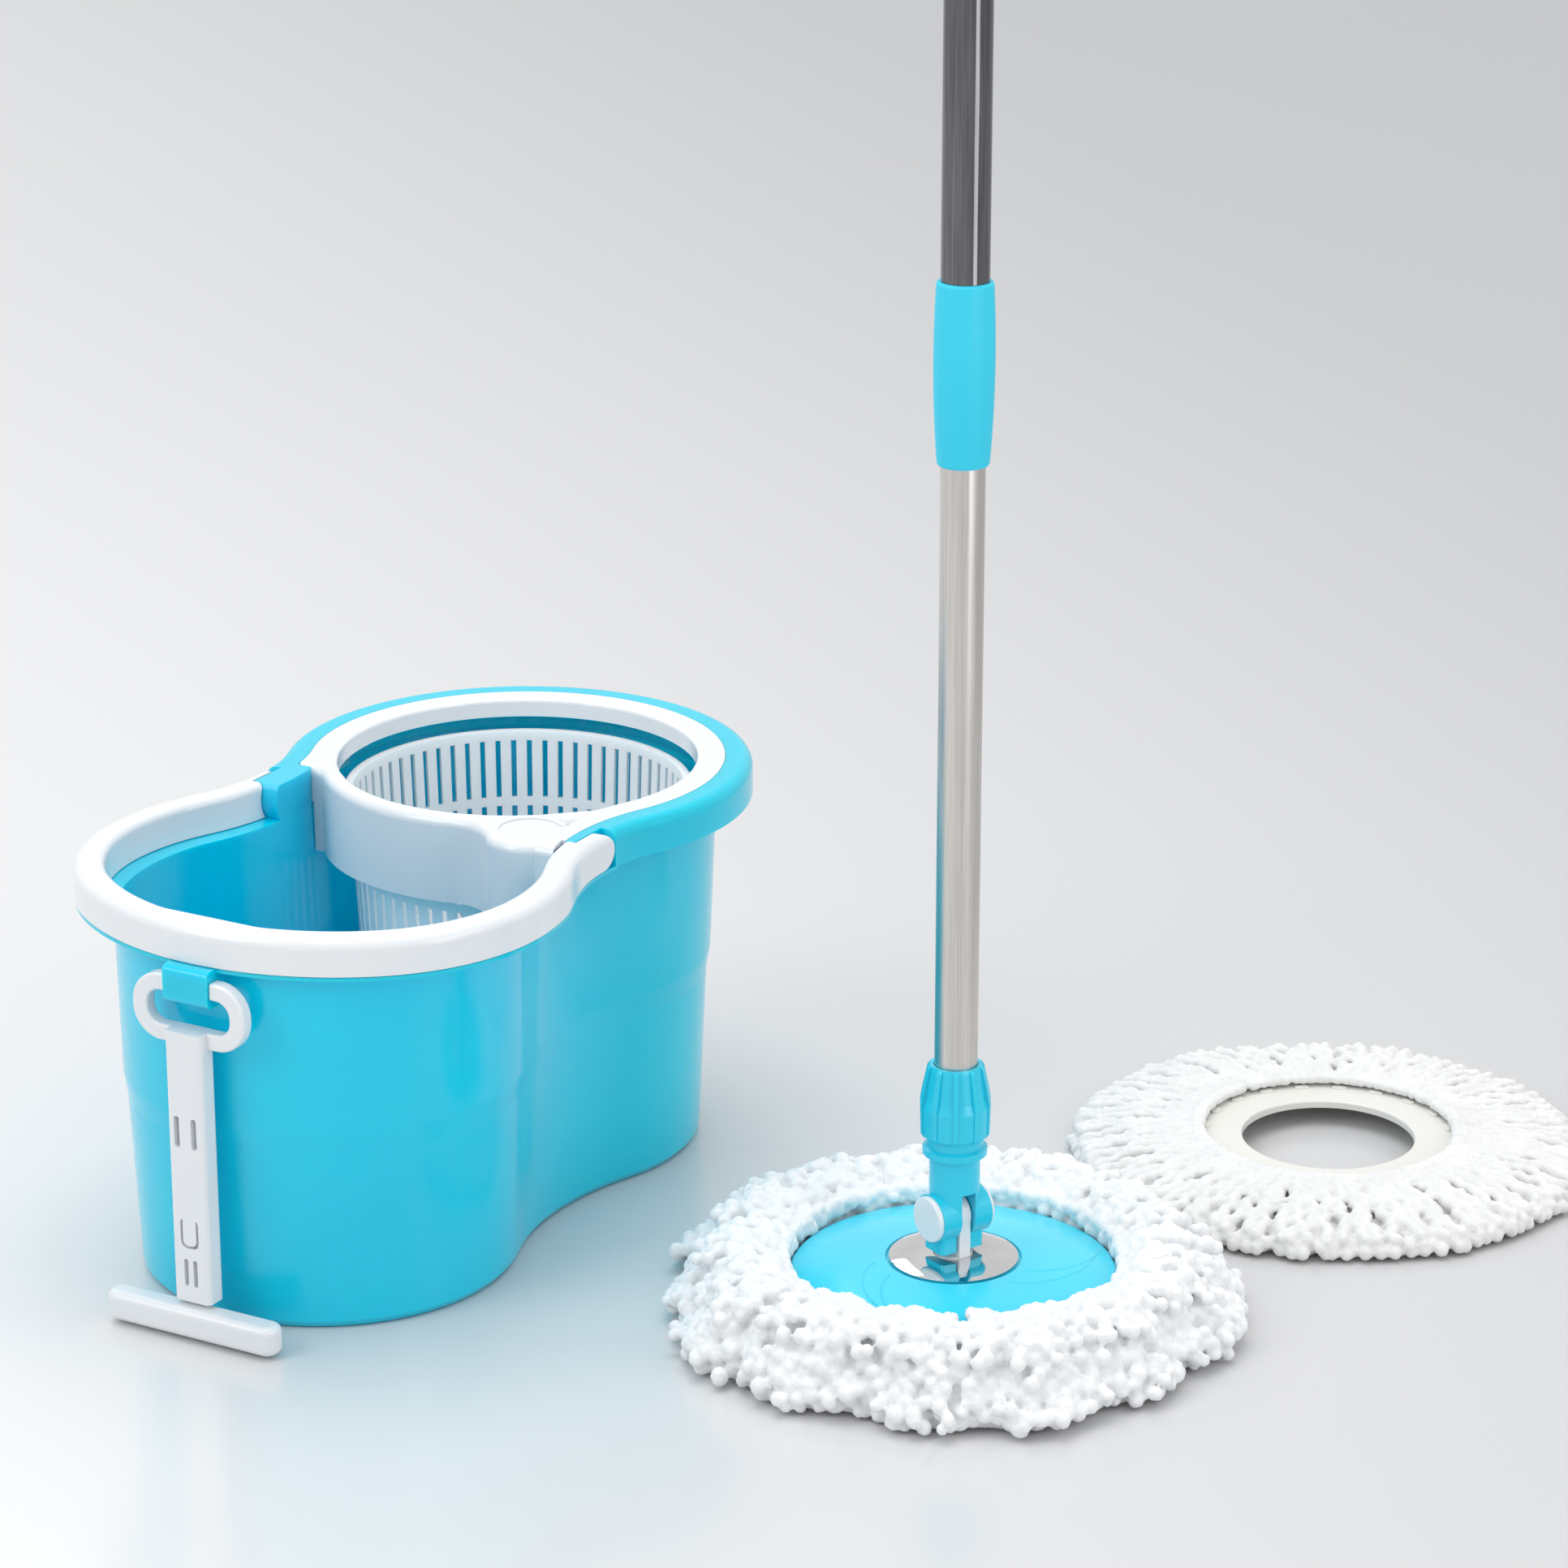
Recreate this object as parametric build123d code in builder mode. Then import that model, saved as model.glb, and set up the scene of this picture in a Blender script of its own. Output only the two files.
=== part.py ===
from build123d import *

import os
from math import cos, radians, sin, sqrt

# A spin mop set: a waisted bucket with a wringer basket, the mop that stands beside it, and a spare mop ring.
# Millimetres, +Z up. The origin is on the floor under the middle of the bucket's length. The water well is at
# -X and the wringer basket at +X. The mop and the spare ring stand on the -Y side, each on an axis of its own.

# ---- Bucket plan: two round wells joined by hollow arcs ------------------------------------------------
WATER_X = -102.8
BASKET_X = 88.8
RIM_WATER_R = 132.2
RIM_BASKET_R = 129.0
RIM_WAIST_R = 103.5
RIM_END_X, RIM_END_R = -68.0, 150.0  # the rim is flatter at the water end
RIM_CORNER_R = 107.1
# ---- Bucket heights and walls --------------------------------------------------------------------------
RIM_TOP = 220.0
RIM_LOW = 200.0
WALL = 2.5
FLOOR = 3.0
# height, water radius, basket radius and waist radius: the wall steps out half way up, for nesting
WALL_LEVELS = [
    (0.0, 97.0, 95.5, 171.0),
    (4.0, 100.0, 98.5, 168.0),
    (98.0, 104.2, 103.0, 169.0),
    (110.0, 106.0, 105.2, 147.0),
    (198.0, 107.5, 109.0, 124.5),
]
CAVITY_HEIGHTS = [FLOOR - 1.0, FLOOR, 98.0, 110.0, 203.0]
BAND_WIDE = 15.0
BAND_FROM = 8.5  # the blue band over the rim starts here
FLANGE_THICK = 2.0
# ---- Carry handle --------------------------------------------------------------------------------------
HANDLE_LOW = 200.5
HANDLE_WIDE = 16.4
HANDLE_GRIP_X = -198.5  # inner edge of the wider grip at the water end
HANDLE_WALL = 2.6
PIVOT_X, PIVOT_Z = -2.0, 210.25
EAR_END_R = 9.7
TONGUE_R, TONGUE_ROOM_R = 18.0, 18.6
TONGUE_Y, EAR_Y = 101.4, 102.4
PIVOT_PIN_R = 4.0
PIN_FIT = 0.06
# ---- Wringer surround ----------------------------------------------------------------------------------
SURROUND_IN_R = 98.6
SURROUND_THICK = 2.5
SPLASH_R = 108.0
SPLASH_LOW = 172.0
REST_X, REST_Y, REST_R = -11.0, -71.0, 24.5
WING_X = 17.5
HOLLOW_R = 26.0
# ---- Spin basket ---------------------------------------------------------------------------------------
BASKET_RIM_R = 95.4
BASKET_TOP = 204.0
BASKET_HIGH_R, BASKET_LOW_R = 93.0, 88.5
BASKET_FLOOR = 102.0
BASKET_WALL = 2.2
SLOT_COUNT = 64
SLOT_WIDE = 3.0
SLOT_ROWS = [(115.0, 160.0), (165.0, 198.5)]
POST_TOP = 88.0
SPINDLE_R = 3.0
# ---- Tow handle and rollers ----------------------------------------------------------------------------
TOW_X, TOW_Z = -219.5, 189.5
TAB_HALF, TAB_FRONT, TAB_LOW = 13.5, -225.0, 180.0
LOOP_WIDE, LOOP_TALL, LOOP_BAND, LOOP_THICK, LOOP_CORNER_R = 68.0, 36.0, 9.0, 8.0, 17.0
BAR_WIDE, BAR_THICK, BAR_X, BAR_LOW = 22.0, 13.0, -223.0, 20.0
TOW_ROD_WIDE, TOW_ROD_THICK, TOW_ROD_TOP = 14.0, 6.0, 150.0
GRIP_X, GRIP_LONG, GRIP_THICK = -228.0, 104.0, 15.0
GRIP_LOW, GRIP_HIGH = 1.5, 17.5
ROLLER_X, ROLLER_Y, ROLLER_R, ROLLER_Z, ROLLER_WIDE = 135.0, 42.0, 9.8, 10.0, 10.0
AXLE_R = 2.0
# ---- Mop handle ----------------------------------------------------------------------------------------
MOP_X, MOP_Y = -20.7, -327.8
PIN_TURN = -26.0  # degrees from +X to the tilt pin
TILT_Z = 60.0
FORK_R, FORK_GAP, FORK_BOSS_R, FORK_BOSS_HALF = 13.0, 8.4, 12.8, 15.0
BLADE_THICK = 6.8
TILT_PIN_R = 2.5
TUBE_R, TUBE_IN_R = 11.0, 10.4
TUBE_LOW, TUBE_TOP = 103.0, 640.0
UPPER_R, UPPER_IN_R = 12.0, 11.4
UPPER_LOW, UPPER_TOP = 462.0, 1150.0
COLLAR_R, COLLAR_LOW, COLLAR_STEP, COLLAR_TOP = 18.5, 103.4, 121.5, 142.0
COLLAR_RIBS, COLLAR_RIB_WIDE = 10, 2.6
SLEEVE_LOW, SLEEVE_TOP = 455.0, 546.0
ROD_WIDE, ROD_THICK, ROD_LOW, ROD_TOP, ROD_PITCH = 8.0, 3.0, 604.0, 950.0, 140.0
NUT_LOW, NUT_TOP = 622.0, 638.0
HANG_Z, HANG_R = 1174.0, 4.5
# ---- Mop head ------------------------------------------------------------------------------------------
PLATE_R = 84.0
CHROME_R = 33.2
STEM_FOOT_R, STEM_NECK_R = 14.0, 10.0
RING_IN_R, RING_OUT_R = 47.8, 75.0
HEAD_R = 143.0
# ---- Spare ring ----------------------------------------------------------------------------------------
SPARE_X, SPARE_Y, SPARE_R = 266.9, -412.8, 143.5


def waisted(water_r, basket_r, waist_r, end_r=None, mode=Mode.ADD):
    """Adds the two-well plan to the current sketch; with end_r, the water end is flattened like the rim."""
    apart = BASKET_X - WATER_X
    to_water = water_r + waist_r
    to_basket = basket_r + waist_r
    along = (to_water**2 - to_basket**2 + apart**2) / (2 * apart)
    across = sqrt(to_water**2 - along**2)
    centre = Vector(WATER_X + along, across)
    water_touch = Vector(WATER_X + water_r * along / to_water, water_r * across / to_water)
    basket_touch = Vector(
        BASKET_X + basket_r * (centre.X - BASKET_X) / to_basket, basket_r * across / to_basket
    )
    with BuildLine() as outline:
        ThreePointArc(
            (basket_touch.X, -basket_touch.Y), (BASKET_X + basket_r, 0), (basket_touch.X, basket_touch.Y)
        )
        for side in (1, -1):
            ThreePointArc(
                (basket_touch.X, side * basket_touch.Y),
                (centre.X, side * (across - waist_r)),
                (water_touch.X, side * water_touch.Y),
            )
        if end_r is None:
            ThreePointArc(
                (water_touch.X, water_touch.Y), (WATER_X - water_r, 0), (water_touch.X, -water_touch.Y)
            )
        else:
            water_end(water_r, end_r, water_touch)
    make_face(outline.edges(), mode=mode)


def water_end(water_r, end_r, touch):
    """The rim's flatter water end: a shoulder, a corner and a half of the end arc on each side."""
    inset = RIM_WATER_R - water_r
    corner_y = RIM_WATER_R - RIM_CORNER_R
    corner_r = RIM_CORNER_R - inset
    reach = sqrt((WATER_X - RIM_END_X) ** 2 + corner_y**2)
    step_x, step_y = (WATER_X - RIM_END_X) / reach, corner_y / reach
    end_touch = (RIM_END_X + end_r * step_x, end_r * step_y)
    shoulder = Vector(touch.X - WATER_X, touch.Y + water_r).normalized() * water_r
    bend = Vector(step_x, step_y + 1).normalized() * corner_r
    for side in (1, -1):
        ThreePointArc(
            (touch.X, side * touch.Y),
            (WATER_X + shoulder.X, side * shoulder.Y),
            (WATER_X, side * water_r),
        )
        ThreePointArc(
            (WATER_X, side * water_r),
            (WATER_X + bend.X, side * (corner_y + bend.Y)),
            (end_touch[0], side * end_touch[1]),
        )
    ThreePointArc(end_touch, (RIM_END_X - end_r, 0), (end_touch[0], -end_touch[1]))


def rim_plan(inset, mode=Mode.ADD):
    """The rim's plan, brought in by inset."""
    waisted(RIM_WATER_R - inset, RIM_BASKET_R - inset, RIM_WAIST_R + inset, RIM_END_R - inset, mode)


def wall_plan(level, inset, mode=Mode.ADD):
    """The wall's plan at one of WALL_LEVELS, brought in by inset."""
    _, water_r, basket_r, waist_r = WALL_LEVELS[level]
    waisted(water_r - inset, basket_r - inset, waist_r + inset, mode=mode)


def block_plan(x_low, x_high, y_low=-200.0, y_high=200.0, mode=Mode.ADD):
    """A rectangle in the current sketch, given by its edges."""
    with Locations(((x_low + x_high) / 2, (y_low + y_high) / 2)):
        Rectangle(x_high - x_low, y_high - y_low, mode=mode)


def radial(x, y):
    """A vertical plane through (x, y): local X is the radius and local Y is the height."""
    return Plane(origin=(x, y, 0), x_dir=(1, 0, 0), z_dir=(0, -1, 0))


def turn_outline(x, y, *outline, mode=Mode.ADD):
    """Turns a closed outline of (radius, height) points about the vertical axis at (x, y)."""
    with BuildSketch(radial(x, y)) as profile:
        with BuildLine():
            Polyline(*outline, close=True)
        make_face()
    revolve(profile.sketch, axis=Axis((x, y, 0), (0, 0, 1)), mode=mode)


def turn_tube(x, y, in_r, out_r, low, high, mode=Mode.ADD):
    """Turns a plain tube about the vertical axis at (x, y)."""
    turn_outline(x, y, (in_r, low), (out_r, low), (out_r, high), (in_r, high), mode=mode)


def mop_level(height):
    """A level plane on the mop's axis, with local X along the tilt pin."""
    turn = radians(PIN_TURN)
    return Plane(origin=(MOP_X, MOP_Y, height), x_dir=(cos(turn), sin(turn), 0), z_dir=(0, 0, 1))


def across_pin(distance):
    """A plane square to the tilt pin at a distance along it: local X is up."""
    turn = radians(PIN_TURN)
    origin = (MOP_X + distance * cos(turn), MOP_Y + distance * sin(turn), TILT_Z)
    return Plane(origin=origin, x_dir=(0, 0, 1), z_dir=(cos(turn), sin(turn), 0))


os.makedirs("parts", exist_ok=True)

# ---- Bucket shell: walls, floor, rim band, tongues, tow tab, spindle post and roller boxes --------------
with BuildPart() as rim_band:
    with BuildSketch(Plane.XY.offset(RIM_LOW)):
        rim_plan(0)
    extrude(amount=RIM_TOP - RIM_LOW)
    fillet(rim_band.faces().sort_by(Axis.Z)[-1].edges(), 6)
    with BuildSketch(Plane.XY.offset(RIM_LOW)):
        rim_plan(BAND_WIDE)
        block_plan(-400, BAND_FROM)
    extrude(amount=RIM_TOP - RIM_LOW, mode=Mode.SUBTRACT)
    with BuildSketch(Plane.XY.offset(RIM_LOW)):
        rim_plan(WALL)
        rim_plan(BAND_WIDE - WALL, mode=Mode.SUBTRACT)
        block_plan(BAND_FROM + WALL, 400, mode=Mode.INTERSECT)
    extrude(amount=RIM_TOP - RIM_LOW - WALL, mode=Mode.SUBTRACT)

with BuildPart() as tongues:
    with BuildSketch(Plane.XY.offset(RIM_LOW)):
        rim_plan(8.5)
        wall_plan(4, WALL, mode=Mode.SUBTRACT)
        block_plan(-40, WING_X - 0.3, -TONGUE_Y, TONGUE_Y, mode=Mode.INTERSECT)
    extrude(amount=RIM_TOP - RIM_LOW)
    with BuildSketch(Plane.XY.offset(RIM_TOP - SURROUND_THICK - 0.1)):
        rim_plan(BAND_WIDE)
        block_plan(-40, 40, -200, 0, mode=Mode.INTERSECT)
    extrude(amount=10, mode=Mode.SUBTRACT)
    with BuildSketch(Plane.XZ):
        with Locations((PIVOT_X, PIVOT_Z)):
            Circle(TONGUE_R)
        block_plan(PIVOT_X, 40, RIM_LOW - 10, RIM_TOP + 10)
    extrude(amount=200, both=True, mode=Mode.INTERSECT)

with BuildPart() as bucket_shell:
    for level, (height, _, _, _) in enumerate(WALL_LEVELS):
        with BuildSketch(Plane.XY.offset(height)):
            wall_plan(level, 0)
    loft(ruled=True)
    # flange: out to the rim under the carry handle, and as far as the band's inner skirt past it
    with BuildSketch(Plane.XY.offset(RIM_LOW - FLANGE_THICK)):
        rim_plan(0.4)
        block_plan(-400, BAND_FROM + WALL, mode=Mode.INTERSECT)
        rim_plan(BAND_WIDE - WALL)
    extrude(amount=FLANGE_THICK)
    with BuildSketch(Plane.XY.offset(TAB_LOW)):
        block_plan(TAB_FRONT, WATER_X - 100, -TAB_HALF, TAB_HALF)
    extrude(amount=RIM_LOW - TAB_LOW)
    fillet(bucket_shell.edges().filter_by(Axis.Y).group_by(Axis.X)[0], 4)
    add(rim_band.part)
    add(tongues.part)
    # the hollow inside
    for level, height in enumerate(CAVITY_HEIGHTS[1:], start=1):
        with BuildSketch(Plane.XY.offset(height)):
            wall_plan(level, WALL)
    loft(ruled=True, mode=Mode.SUBTRACT)
    # spindle post and roller boxes on the floor
    turn_outline(BASKET_X, 0, (0, 1), (22, 1), (20, 20), (12, POST_TOP), (0, POST_TOP))
    with BuildSketch(Plane.XY.offset(1)):
        with Locations((ROLLER_X, ROLLER_Y), (ROLLER_X, -ROLLER_Y)):
            Rectangle(28, 18)
    extrude(amount=23)
    with BuildSketch():
        with Locations((ROLLER_X, ROLLER_Y), (ROLLER_X, -ROLLER_Y)):
            Rectangle(23, 12)
    extrude(amount=21.5, mode=Mode.SUBTRACT)
    turn_tube(BASKET_X, 0, 0, SPINDLE_R + 0.02, POST_TOP - 30, POST_TOP, mode=Mode.SUBTRACT)
    with BuildSketch(Plane.XZ):
        with Locations((ROLLER_X, ROLLER_Z)):
            Circle(AXLE_R + 0.02)
    extrude(amount=ROLLER_Y + 8, both=True, mode=Mode.SUBTRACT)
    for side in (1, -1):
        with BuildSketch(Plane.XZ.offset(side * (TONGUE_Y - 6.1))):
            with Locations((PIVOT_X, PIVOT_Z)):
                Circle(PIVOT_PIN_R + 0.02)
        extrude(amount=side * 8, mode=Mode.SUBTRACT)
    with BuildSketch(Plane.XZ):
        with Locations((TOW_X, TOW_Z)):
            Circle(3 + PIN_FIT)
    extrude(amount=TAB_HALF + 1, both=True, mode=Mode.SUBTRACT)
bucket_shell.part.label = "bucket_shell"
export_step(bucket_shell.part, "parts/bucket_shell.step")

# ---- Carry handle: a hollow bail that caps the rim round the water well ---------------------------------
with BuildPart() as carry_handle:
    with BuildSketch(Plane.XY.offset(HANDLE_LOW)):
        rim_plan(0)
    extrude(amount=RIM_TOP - HANDLE_LOW)
    fillet(carry_handle.faces().sort_by(Axis.Z)[-1].edges(), 6)
    with BuildSketch(Plane.XY.offset(HANDLE_LOW)) as bail_opening:
        rim_plan(HANDLE_WIDE)
        block_plan(HANDLE_GRIP_X, 400, mode=Mode.INTERSECT)
        fillet(bail_opening.vertices().group_by(Axis.X)[0], 30)
    extrude(amount=RIM_TOP - HANDLE_LOW, mode=Mode.SUBTRACT)
    fillet(carry_handle.faces().sort_by(Axis.Z)[-1].inner_wires()[0].edges(), 4)
    with BuildSketch(Plane.XY.offset(HANDLE_LOW)):
        rim_plan(HANDLE_WALL)
        rim_plan(HANDLE_WIDE - HANDLE_WALL, mode=Mode.SUBTRACT)
        block_plan(-400, PIVOT_X - TONGUE_ROOM_R - 6, mode=Mode.INTERSECT)
    extrude(amount=RIM_TOP - HANDLE_LOW - HANDLE_WALL, mode=Mode.SUBTRACT)
    # rounded ears, thin enough to pass outside the tongues
    with BuildSketch(Plane.XZ):
        with Locations((PIVOT_X, PIVOT_Z)):
            Circle(EAR_END_R)
        block_plan(-400, PIVOT_X, HANDLE_LOW, RIM_TOP)
    extrude(amount=200, both=True, mode=Mode.INTERSECT)
    with BuildSketch(Plane.XZ):
        with Locations((PIVOT_X, PIVOT_Z)):
            Circle(TONGUE_ROOM_R)
    extrude(amount=EAR_Y, both=True, mode=Mode.SUBTRACT)
    with BuildSketch(Plane.XZ):
        with Locations((PIVOT_X, PIVOT_Z)):
            Circle(PIVOT_PIN_R + PIN_FIT)
    extrude(amount=EAR_Y + 5, both=True, mode=Mode.SUBTRACT)
carry_handle.part.label = "carry_handle"
export_step(carry_handle.part, "parts/carry_handle.step")

# ---- Pins the carry handle turns on ---------------------------------------------------------------------
with BuildPart() as handle_pins:
    for side in (1, -1):
        with BuildSketch(Plane.XZ.offset(side * (TONGUE_Y - 6))):
            with Locations((PIVOT_X, PIVOT_Z)):
                Circle(PIVOT_PIN_R)
        extrude(amount=side * 11)
handle_pins.part.label = "handle_pins"
export_step(handle_pins.part, "parts/handle_pins.step")


def surround_plan(shrink=0.0):
    """Plan of the wringer surround: the well's disc, two wings and a round rest at the near side."""
    with Locations((BASKET_X, 0)):
        Circle(SPLASH_R - shrink)
    with Locations((REST_X, REST_Y)):
        Circle(REST_R - shrink)
    block_plan(WING_X + shrink, 400)
    block_plan(REST_X - 20 + shrink, WING_X + shrink, -200, REST_Y - 8)


def hollow_of_rest(plan):
    """The corners of a surround plan where its disc runs into its round rest and its far wing."""
    touching = plan.vertices().filter_by_position(Axis.X, -60, WING_X - 1)
    return touching.filter_by_position(Axis.Y, -60, 90)


# ---- Wringer surround: the white deck and splash guard that drops into the rim --------------------------
with BuildPart() as basket_holder:
    # splash guard between the two wells: a block with a rounded front edge, hollowed from below
    with BuildSketch(Plane.XY.offset(SPLASH_LOW)) as guard:
        surround_plan()
        block_plan(-400, BASKET_X, mode=Mode.INTERSECT)
        fillet(hollow_of_rest(guard), HOLLOW_R)
    extrude(amount=RIM_TOP - SPLASH_LOW)
    front = basket_holder.faces().sort_by(Axis.Z)[-1].edges().filter_by_position(Axis.X, -60, 19)
    fillet(front, 5.5)
    with BuildSketch(Plane.XY.offset(SPLASH_LOW)) as guard_hollow:
        surround_plan(WALL)
        block_plan(-400, BASKET_X + 1, mode=Mode.INTERSECT)
        fillet(hollow_of_rest(guard_hollow), HOLLOW_R + WALL)
    extrude(amount=RIM_TOP - SPLASH_LOW - SURROUND_THICK, mode=Mode.SUBTRACT)
    with BuildSketch(Plane.XY.offset(SPLASH_LOW)):
        block_plan(-400, 400)
        wall_plan(4, WALL + 1, mode=Mode.SUBTRACT)
    extrude(amount=RIM_LOW + 0.1 - SPLASH_LOW, mode=Mode.SUBTRACT)
    with BuildSketch(Plane.XY.offset(SPLASH_LOW)):
        rim_plan(BAND_WIDE + 0.2)
    extrude(amount=RIM_TOP - SPLASH_LOW, mode=Mode.INTERSECT)
    # clear of the carry handle's inner edge
    with BuildSketch(Plane.XY.offset(HANDLE_LOW - 1)):
        block_plan(-400, PIVOT_X - 15.5)
        rim_plan(HANDLE_WIDE + 0.8, mode=Mode.SUBTRACT)
    extrude(amount=RIM_TOP - HANDLE_LOW + 2, mode=Mode.SUBTRACT)
    # deck round the basket
    with BuildSketch(Plane.XY.offset(RIM_TOP - SURROUND_THICK)):
        block_plan(BASKET_X - 1, 400)
        rim_plan(BAND_WIDE + 0.2, mode=Mode.INTERSECT)
    extrude(amount=SURROUND_THICK)
    turn_tube(BASKET_X, 0, 0, SURROUND_IN_R, SPLASH_LOW - 1, RIM_TOP + 1, mode=Mode.SUBTRACT)
    # outer skirt that stands on the ledge
    with BuildSketch(Plane.XY.offset(RIM_LOW + 0.1)):
        block_plan(WING_X, 400)
        rim_plan(BAND_WIDE + 0.2, mode=Mode.INTERSECT)
        rim_plan(BAND_WIDE + 0.2 + WALL, mode=Mode.SUBTRACT)
    extrude(amount=RIM_TOP - RIM_LOW - 1)
    # collar round the basket's mouth
    turn_tube(BASKET_X, 0, SURROUND_IN_R, SURROUND_IN_R + WALL, RIM_TOP - 10, RIM_TOP - 1)
    # softened edge of the mouth
    turn_outline(
        BASKET_X,
        0,
        (0, RIM_TOP - 1.6),
        (SURROUND_IN_R, RIM_TOP - 1.6),
        (SURROUND_IN_R + 0.5, RIM_TOP - 0.5),
        (SURROUND_IN_R + 1.6, RIM_TOP),
        (0, RIM_TOP),
        mode=Mode.SUBTRACT,
    )
    with BuildSketch(Plane.XY.offset(RIM_TOP)):
        with Locations((REST_X + 1, REST_Y + 2)):
            Circle(16.5)
    extrude(amount=-1, mode=Mode.SUBTRACT)
basket_holder.part.label = "basket_holder"
export_step(basket_holder.part, "parts/basket_holder.step")

# ---- Wringer basket: a slotted wall ring clipped round a base with a hub ------------------------------
with BuildPart() as spin_basket:
    turn_outline(
        BASKET_X,
        0,
        (BASKET_LOW_R - 1, BASKET_FLOOR + 1),
        (BASKET_LOW_R, BASKET_FLOOR + 4),
        (BASKET_HIGH_R, BASKET_TOP - 4),
        (BASKET_RIM_R, BASKET_TOP - 2.5),
        (BASKET_RIM_R, BASKET_TOP),
        (BASKET_HIGH_R - BASKET_WALL, BASKET_TOP),
        (BASKET_LOW_R - BASKET_WALL, BASKET_FLOOR + 3),
        (BASKET_LOW_R - BASKET_WALL, BASKET_FLOOR + 1),
    )
    for low, high in SLOT_ROWS:
        with BuildSketch(Plane.XY.offset(low)):
            with Locations((BASKET_X, 0)):
                with PolarLocations(90, SLOT_COUNT):
                    Rectangle(20, SLOT_WIDE)
        extrude(amount=high - low, mode=Mode.SUBTRACT)
spin_basket.part.label = "spin_basket"
export_step(spin_basket.part, "parts/spin_basket.step")

with BuildPart() as basket_base:
    turn_outline(
        BASKET_X,
        0,
        (12, BASKET_FLOOR),
        (BASKET_LOW_R - BASKET_WALL - 0.05, BASKET_FLOOR),
        (BASKET_LOW_R - BASKET_WALL - 0.05, BASKET_FLOOR + 3),
        (BASKET_LOW_R - 6, BASKET_FLOOR + BASKET_WALL),
        (12, BASKET_FLOOR + BASKET_WALL),
        (11, BASKET_FLOOR + 20),
        (6, BASKET_FLOOR + 20),
        (6, POST_TOP + 2.5),
        (12, POST_TOP + 2.5),
    )
    with BuildSketch(Plane.XY.offset(BASKET_FLOOR)):
        with Locations((BASKET_X, 0)):
            with PolarLocations(58, 24):
                SlotOverall(30, 4)
            with PolarLocations(28, 12):
                SlotOverall(16, 4)
    extrude(amount=BASKET_WALL, mode=Mode.SUBTRACT)
basket_base.part.label = "basket_base"
export_step(basket_base.part, "parts/basket_base.step")

with BuildPart() as basket_bush:
    turn_outline(
        BASKET_X,
        0,
        (SPINDLE_R + PIN_FIT, POST_TOP + 0.4),
        (10, POST_TOP + 0.4),
        (10, POST_TOP + 2.4),
        (5.95, POST_TOP + 2.4),
        (5.95, BASKET_FLOOR + 18),
        (SPINDLE_R + PIN_FIT, BASKET_FLOOR + 18),
    )
basket_bush.part.label = "basket_bush"
export_step(basket_bush.part, "parts/basket_bush.step")

with BuildPart() as hub_cap:
    turn_tube(BASKET_X, 0, 0, 11, BASKET_FLOOR + 20.05, BASKET_FLOOR + 25)
    fillet(hub_cap.faces().sort_by(Axis.Z)[-1].edges(), 4)
hub_cap.part.label = "hub_cap"
export_step(hub_cap.part, "parts/hub_cap.step")

with BuildPart() as spindle_pin:
    turn_tube(BASKET_X, 0, 0, SPINDLE_R, POST_TOP - 29.8, BASKET_FLOOR + 17)
    chamfer(spindle_pin.faces().sort_by(Axis.Z)[-1].edges(), 0.8)
spindle_pin.part.label = "spindle_pin"
export_step(spindle_pin.part, "parts/spindle_pin.step")

# ---- Tow handle: a loop under the water end and a bar that hangs down the wall --------------------------
with BuildPart() as tow_handle:
    with BuildSketch(Plane.YZ.offset(TOW_X - LOOP_THICK / 2)):
        with Locations((0, TOW_Z + LOOP_BAND / 2 - LOOP_TALL / 2)):
            RectangleRounded(LOOP_WIDE, LOOP_TALL, LOOP_CORNER_R)
            RectangleRounded(
                LOOP_WIDE - 2 * LOOP_BAND,
                LOOP_TALL - 2 * LOOP_BAND,
                LOOP_CORNER_R - LOOP_BAND,
                mode=Mode.SUBTRACT,
            )
        block_plan(-TAB_HALF - 0.5, TAB_HALF + 0.5, TOW_Z - 8, TOW_Z + 8, mode=Mode.SUBTRACT)
    extrude(amount=LOOP_THICK)
    fillet(tow_handle.edges().filter_by(GeomType.CIRCLE), 1.5)
    bar_top = TOW_Z + LOOP_BAND / 2 - LOOP_TALL + LOOP_BAND
    with BuildSketch(Plane.XY.offset(BAR_LOW)):
        with Locations((BAR_X, 0)):
            RectangleRounded(BAR_THICK, BAR_WIDE, 3)
    extrude(amount=bar_top - BAR_LOW)
    # channel for the rod, and the windows in the bar's face
    with BuildSketch(Plane.XY.offset(BAR_LOW)):
        with Locations((BAR_X, 0)):
            Rectangle(TOW_ROD_THICK + 0.8, TOW_ROD_WIDE + 0.8)
    extrude(amount=TOW_ROD_TOP + 2 - BAR_LOW, mode=Mode.SUBTRACT)
    with BuildSketch(Plane.YZ.offset(BAR_X - BAR_THICK / 2)):
        with Locations((-5.2, 113), (5.2, 113)):
            SlotOverall(17, 3.4, rotation=90)
        with Locations((-2.8, 36), (2.8, 36)):
            SlotOverall(15, 2.5, rotation=90)
        with Locations((0, 58)):
            RectangleRounded(11, 17, 4)
            RectangleRounded(8, 14, 3, mode=Mode.SUBTRACT)
        block_plan(-4, 4, 62, 70, mode=Mode.SUBTRACT)
    extrude(amount=4, mode=Mode.SUBTRACT)
tow_handle.part.label = "tow_handle"
export_step(tow_handle.part, "parts/tow_handle.step")

with BuildPart() as tow_pins:
    for side in (1, -1):
        with BuildSketch(Plane.XZ.offset(side * 7)):
            with Locations((TOW_X, TOW_Z)):
                Circle(3)
        extrude(amount=side * (TAB_HALF + 0.45 - 7))
tow_pins.part.label = "tow_pins"
export_step(tow_pins.part, "parts/tow_pins.step")

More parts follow.
